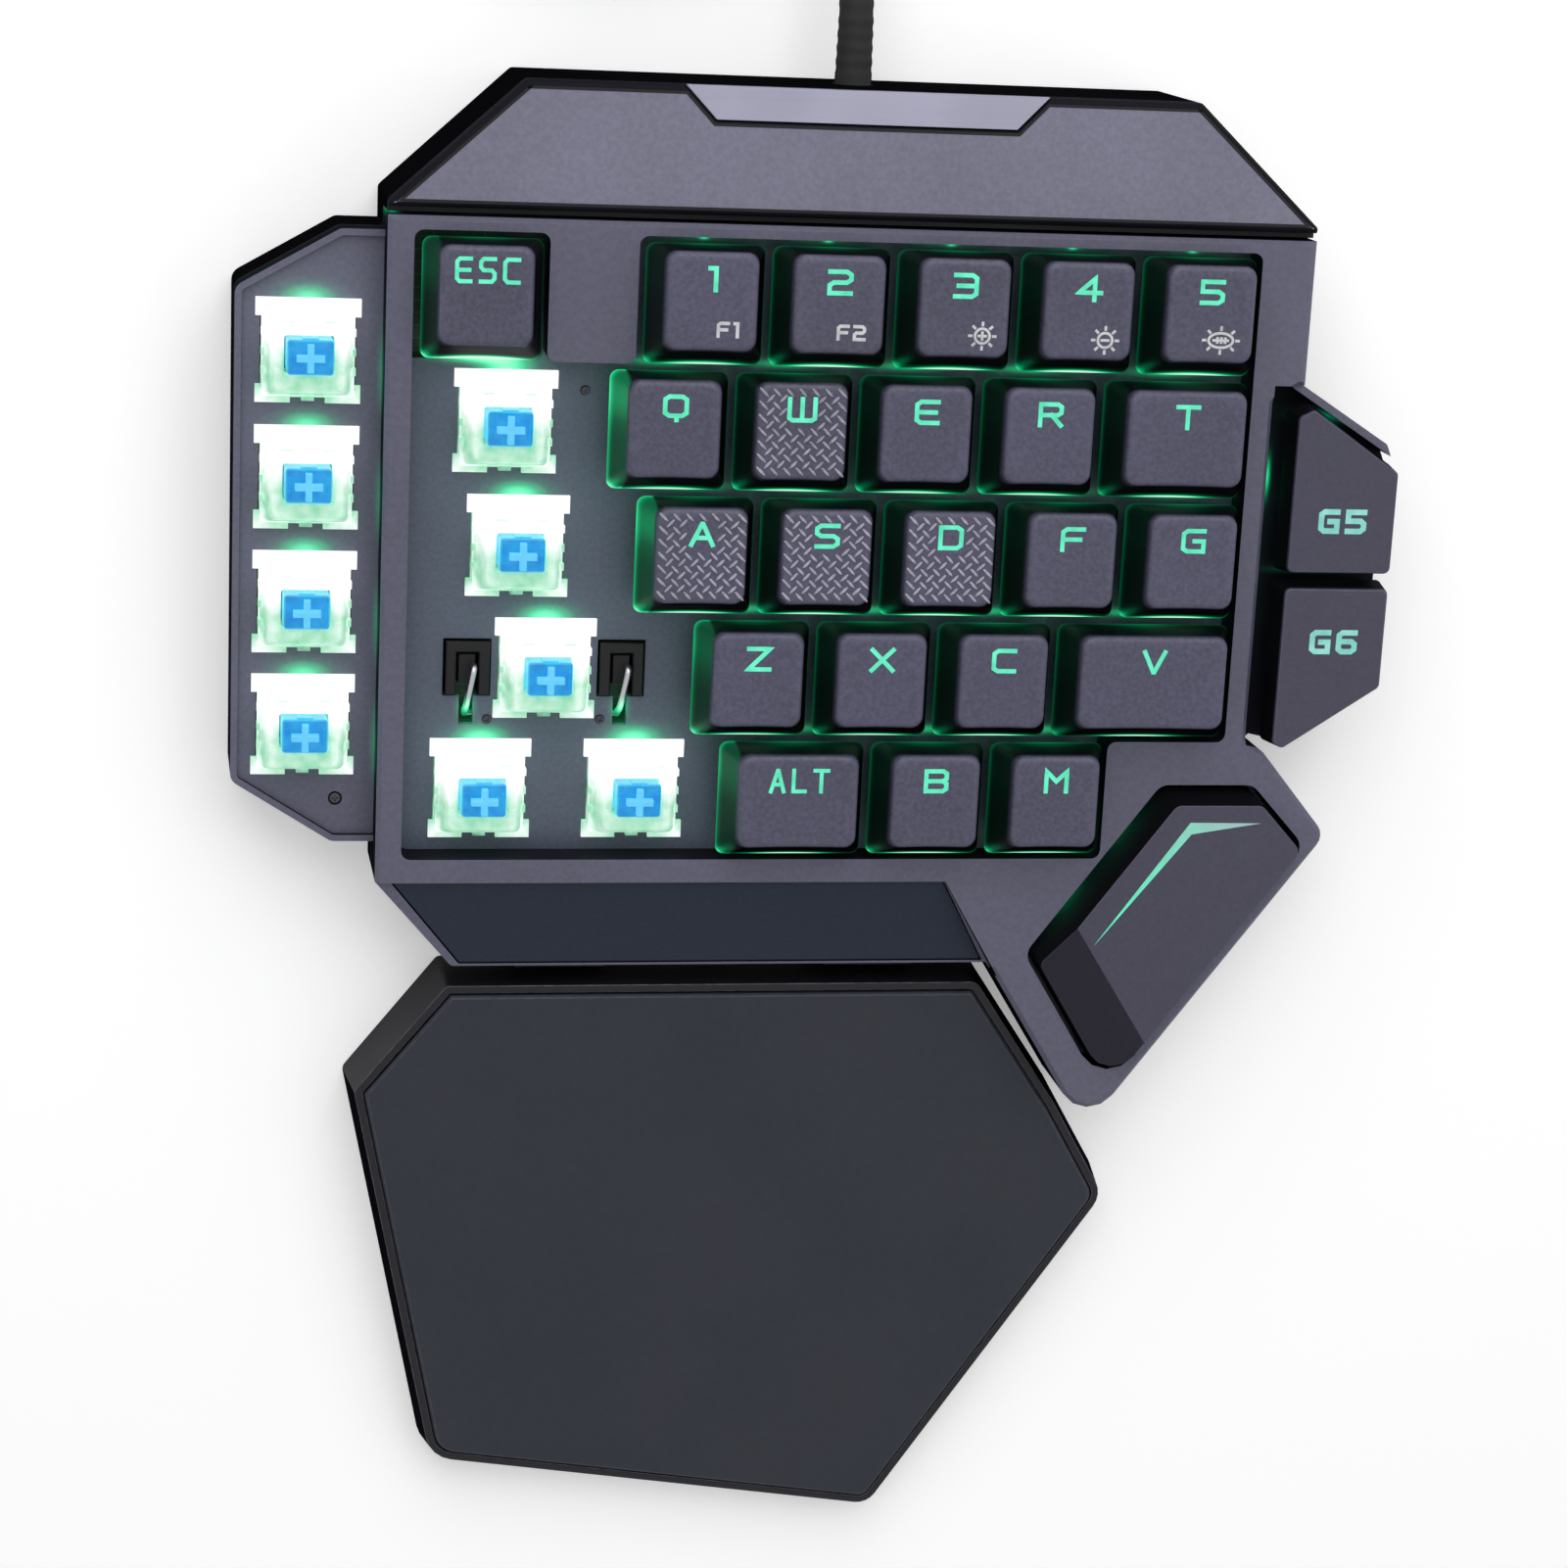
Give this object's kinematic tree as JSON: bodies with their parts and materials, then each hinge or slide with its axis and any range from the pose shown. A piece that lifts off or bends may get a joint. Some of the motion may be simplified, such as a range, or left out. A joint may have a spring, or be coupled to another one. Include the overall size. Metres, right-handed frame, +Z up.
{
  "type": "gaming keypad",
  "caption": "One-handed mechanical gaming keypad with capped and bare keys, thumb bar, pull-off wrist rest and a coiled USB cord.",
  "frame": {"origin": "centre of the keypad's footprint without its cord, on the desk", "axes": "+X to the user's right, +Y to the rear where the cord leaves, +Z up; the keys press down, tipped 3.5 degrees"},
  "size_m": [0.1975, 0.3343, 0.0328],
  "materials": {
    "grey_cover": "fine-grained dark violet grey",
    "light_panel": "fine-grained lighter grey",
    "silver_insert": "satin silver",
    "slate_panel": "smooth dark blue-grey",
    "black_shell": "matte black",
    "plate": "painted steel",
    "board": "solder mask",
    "keycap": "satin dark grey",
    "blue_stem": "bright blue",
    "clear_housing": "milky clear",
    "wrist_pad": "smooth satin",
    "rubber": "black rubber",
    "cord": "black sheath",
    "plug": "moulded black grip"
  },
  "bodies": {
    "keypad": {"top_cover": "grey_cover", "front_panel": "slate_panel", "rear_panel": "light_panel", "rear_badge": "silver_insert", "bottom_cover": "black_shell", "switch_plate": "plate", "circuit_board": "board", "switch_tab": "clear_housing", "switch_caps": "clear_housing", "switch_shift": "clear_housing", "switch_ctrl": "clear_housing", "switch_fn": "clear_housing", "switch_g1": "clear_housing", "switch_g2": "clear_housing", "switch_g3": "clear_housing", "switch_g4": "clear_housing", "shift_stabiliser": "black_shell", "rear_foot": "rubber", "front_foot": "rubber", "strain_relief": "rubber", "cord_run": "cord", "cord_coil": "cord", "usb_plug": "plug"},
    "wrist_rest": {"palm_rest_base": "black_shell", "palm_rest_pad": "wrist_pad"},
    "key_esc": {"key_esc": "keycap"},
    "key_1": {"key_1": "keycap"},
    "key_2": {"key_2": "keycap"},
    "key_3": {"key_3": "keycap"},
    "key_4": {"key_4": "keycap"},
    "key_5": {"key_5": "keycap"},
    "key_q": {"key_q": "keycap"},
    "key_w": {"key_w": "keycap"},
    "key_e": {"key_e": "keycap"},
    "key_r": {"key_r": "keycap"},
    "key_t": {"key_t": "keycap"},
    "key_a": {"key_a": "keycap"},
    "key_s": {"key_s": "keycap"},
    "key_d": {"key_d": "keycap"},
    "key_f": {"key_f": "keycap"},
    "key_g": {"key_g": "keycap"},
    "key_z": {"key_z": "keycap"},
    "key_x": {"key_x": "keycap"},
    "key_c": {"key_c": "keycap"},
    "key_v": {"key_v": "keycap"},
    "key_alt": {"key_alt": "keycap"},
    "key_b": {"key_b": "keycap"},
    "key_m": {"key_m": "keycap"},
    "stem_tab": {"stem_tab": "blue_stem"},
    "stem_caps": {"stem_caps": "blue_stem"},
    "stem_shift": {"stem_shift": "blue_stem"},
    "stem_ctrl": {"stem_ctrl": "blue_stem"},
    "stem_fn": {"stem_fn": "blue_stem"},
    "stem_g1": {"stem_g1": "blue_stem"},
    "stem_g2": {"stem_g2": "blue_stem"},
    "stem_g3": {"stem_g3": "blue_stem"},
    "stem_g4": {"stem_g4": "blue_stem"},
    "key_g5": {"key_g5": "keycap"},
    "key_g6": {"key_g6": "keycap"},
    "thumb_bar": {"thumb_bar": "keycap"}
  },
  "joints": [
    {"name": "key_esc_press", "type": "slide", "parent": "keypad", "child": "key_esc", "axis": [0, 0.061, -0.9981], "range_m": [0, 0.004], "stiffness_N_per_m": 60, "springref_m": -0.0065},
    {"name": "key_1_press", "type": "slide", "parent": "keypad", "child": "key_1", "axis": [0, 0.061, -0.9981], "range_m": [0, 0.004], "stiffness_N_per_m": 60, "springref_m": -0.0065},
    {"name": "key_2_press", "type": "slide", "parent": "keypad", "child": "key_2", "axis": [0, 0.061, -0.9981], "range_m": [0, 0.004], "stiffness_N_per_m": 60, "springref_m": -0.0065},
    {"name": "key_3_press", "type": "slide", "parent": "keypad", "child": "key_3", "axis": [0, 0.061, -0.9981], "range_m": [0, 0.004], "stiffness_N_per_m": 60, "springref_m": -0.0065},
    {"name": "key_4_press", "type": "slide", "parent": "keypad", "child": "key_4", "axis": [0, 0.061, -0.9981], "range_m": [0, 0.004], "stiffness_N_per_m": 60, "springref_m": -0.0065},
    {"name": "key_5_press", "type": "slide", "parent": "keypad", "child": "key_5", "axis": [0, 0.061, -0.9981], "range_m": [0, 0.004], "stiffness_N_per_m": 60, "springref_m": -0.0065},
    {"name": "key_q_press", "type": "slide", "parent": "keypad", "child": "key_q", "axis": [0, 0.061, -0.9981], "range_m": [0, 0.004], "stiffness_N_per_m": 60, "springref_m": -0.0065},
    {"name": "key_w_press", "type": "slide", "parent": "keypad", "child": "key_w", "axis": [0, 0.061, -0.9981], "range_m": [0, 0.004], "stiffness_N_per_m": 60, "springref_m": -0.0065},
    {"name": "key_e_press", "type": "slide", "parent": "keypad", "child": "key_e", "axis": [0, 0.061, -0.9981], "range_m": [0, 0.004], "stiffness_N_per_m": 60, "springref_m": -0.0065},
    {"name": "key_r_press", "type": "slide", "parent": "keypad", "child": "key_r", "axis": [0, 0.061, -0.9981], "range_m": [0, 0.004], "stiffness_N_per_m": 60, "springref_m": -0.0065},
    {"name": "key_t_press", "type": "slide", "parent": "keypad", "child": "key_t", "axis": [0, 0.061, -0.9981], "range_m": [0, 0.004], "stiffness_N_per_m": 60, "springref_m": -0.0065},
    {"name": "key_a_press", "type": "slide", "parent": "keypad", "child": "key_a", "axis": [0, 0.061, -0.9981], "range_m": [0, 0.004], "stiffness_N_per_m": 60, "springref_m": -0.0065},
    {"name": "key_s_press", "type": "slide", "parent": "keypad", "child": "key_s", "axis": [0, 0.061, -0.9981], "range_m": [0, 0.004], "stiffness_N_per_m": 60, "springref_m": -0.0065},
    {"name": "key_d_press", "type": "slide", "parent": "keypad", "child": "key_d", "axis": [0, 0.061, -0.9981], "range_m": [0, 0.004], "stiffness_N_per_m": 60, "springref_m": -0.0065},
    {"name": "key_f_press", "type": "slide", "parent": "keypad", "child": "key_f", "axis": [0, 0.061, -0.9981], "range_m": [0, 0.004], "stiffness_N_per_m": 60, "springref_m": -0.0065},
    {"name": "key_g_press", "type": "slide", "parent": "keypad", "child": "key_g", "axis": [0, 0.061, -0.9981], "range_m": [0, 0.004], "stiffness_N_per_m": 60, "springref_m": -0.0065},
    {"name": "key_z_press", "type": "slide", "parent": "keypad", "child": "key_z", "axis": [0, 0.061, -0.9981], "range_m": [0, 0.004], "stiffness_N_per_m": 60, "springref_m": -0.0065},
    {"name": "key_x_press", "type": "slide", "parent": "keypad", "child": "key_x", "axis": [0, 0.061, -0.9981], "range_m": [0, 0.004], "stiffness_N_per_m": 60, "springref_m": -0.0065},
    {"name": "key_c_press", "type": "slide", "parent": "keypad", "child": "key_c", "axis": [0, 0.061, -0.9981], "range_m": [0, 0.004], "stiffness_N_per_m": 60, "springref_m": -0.0065},
    {"name": "key_v_press", "type": "slide", "parent": "keypad", "child": "key_v", "axis": [0, 0.061, -0.9981], "range_m": [0, 0.004], "stiffness_N_per_m": 60, "springref_m": -0.0065},
    {"name": "key_alt_press", "type": "slide", "parent": "keypad", "child": "key_alt", "axis": [0, 0.061, -0.9981], "range_m": [0, 0.004], "stiffness_N_per_m": 60, "springref_m": -0.0065},
    {"name": "key_b_press", "type": "slide", "parent": "keypad", "child": "key_b", "axis": [0, 0.061, -0.9981], "range_m": [0, 0.004], "stiffness_N_per_m": 60, "springref_m": -0.0065},
    {"name": "key_m_press", "type": "slide", "parent": "keypad", "child": "key_m", "axis": [0, 0.061, -0.9981], "range_m": [0, 0.004], "stiffness_N_per_m": 60, "springref_m": -0.0065},
    {"name": "stem_tab_press", "type": "slide", "parent": "keypad", "child": "stem_tab", "axis": [0, 0.061, -0.9981], "range_m": [0, 0.004], "stiffness_N_per_m": 60, "springref_m": -0.0065},
    {"name": "stem_caps_press", "type": "slide", "parent": "keypad", "child": "stem_caps", "axis": [0, 0.061, -0.9981], "range_m": [0, 0.004], "stiffness_N_per_m": 60, "springref_m": -0.0065},
    {"name": "stem_shift_press", "type": "slide", "parent": "keypad", "child": "stem_shift", "axis": [0, 0.061, -0.9981], "range_m": [0, 0.004], "stiffness_N_per_m": 60, "springref_m": -0.0065},
    {"name": "stem_ctrl_press", "type": "slide", "parent": "keypad", "child": "stem_ctrl", "axis": [0, 0.061, -0.9981], "range_m": [0, 0.004], "stiffness_N_per_m": 60, "springref_m": -0.0065},
    {"name": "stem_fn_press", "type": "slide", "parent": "keypad", "child": "stem_fn", "axis": [0, 0.061, -0.9981], "range_m": [0, 0.004], "stiffness_N_per_m": 60, "springref_m": -0.0065},
    {"name": "stem_g1_press", "type": "slide", "parent": "keypad", "child": "stem_g1", "axis": [0, 0.061, -0.9981], "range_m": [0, 0.004], "stiffness_N_per_m": 60, "springref_m": -0.0065},
    {"name": "stem_g2_press", "type": "slide", "parent": "keypad", "child": "stem_g2", "axis": [0, 0.061, -0.9981], "range_m": [0, 0.004], "stiffness_N_per_m": 60, "springref_m": -0.0065},
    {"name": "stem_g3_press", "type": "slide", "parent": "keypad", "child": "stem_g3", "axis": [0, 0.061, -0.9981], "range_m": [0, 0.004], "stiffness_N_per_m": 60, "springref_m": -0.0065},
    {"name": "stem_g4_press", "type": "slide", "parent": "keypad", "child": "stem_g4", "axis": [0, 0.061, -0.9981], "range_m": [0, 0.004], "stiffness_N_per_m": 60, "springref_m": -0.0065},
    {"name": "key_g5_press", "type": "slide", "parent": "keypad", "child": "key_g5", "axis": [0, 0.061, -0.9981], "range_m": [0, 0.003], "stiffness_N_per_m": 60, "springref_m": -0.0065},
    {"name": "key_g6_press", "type": "slide", "parent": "keypad", "child": "key_g6", "axis": [0, 0.061, -0.9981], "range_m": [0, 0.003], "stiffness_N_per_m": 60, "springref_m": -0.0065},
    {"name": "thumb_bar_press", "type": "slide", "parent": "keypad", "child": "thumb_bar", "axis": [0, 0.061, -0.9981], "range_m": [0, 0.003], "stiffness_N_per_m": 60, "springref_m": -0.0065},
    {"name": "wrist_rest_pull", "type": "slide", "parent": "keypad", "child": "wrist_rest", "axis": [0, -1, 0], "range_m": [0, 0.008]}
  ]
}
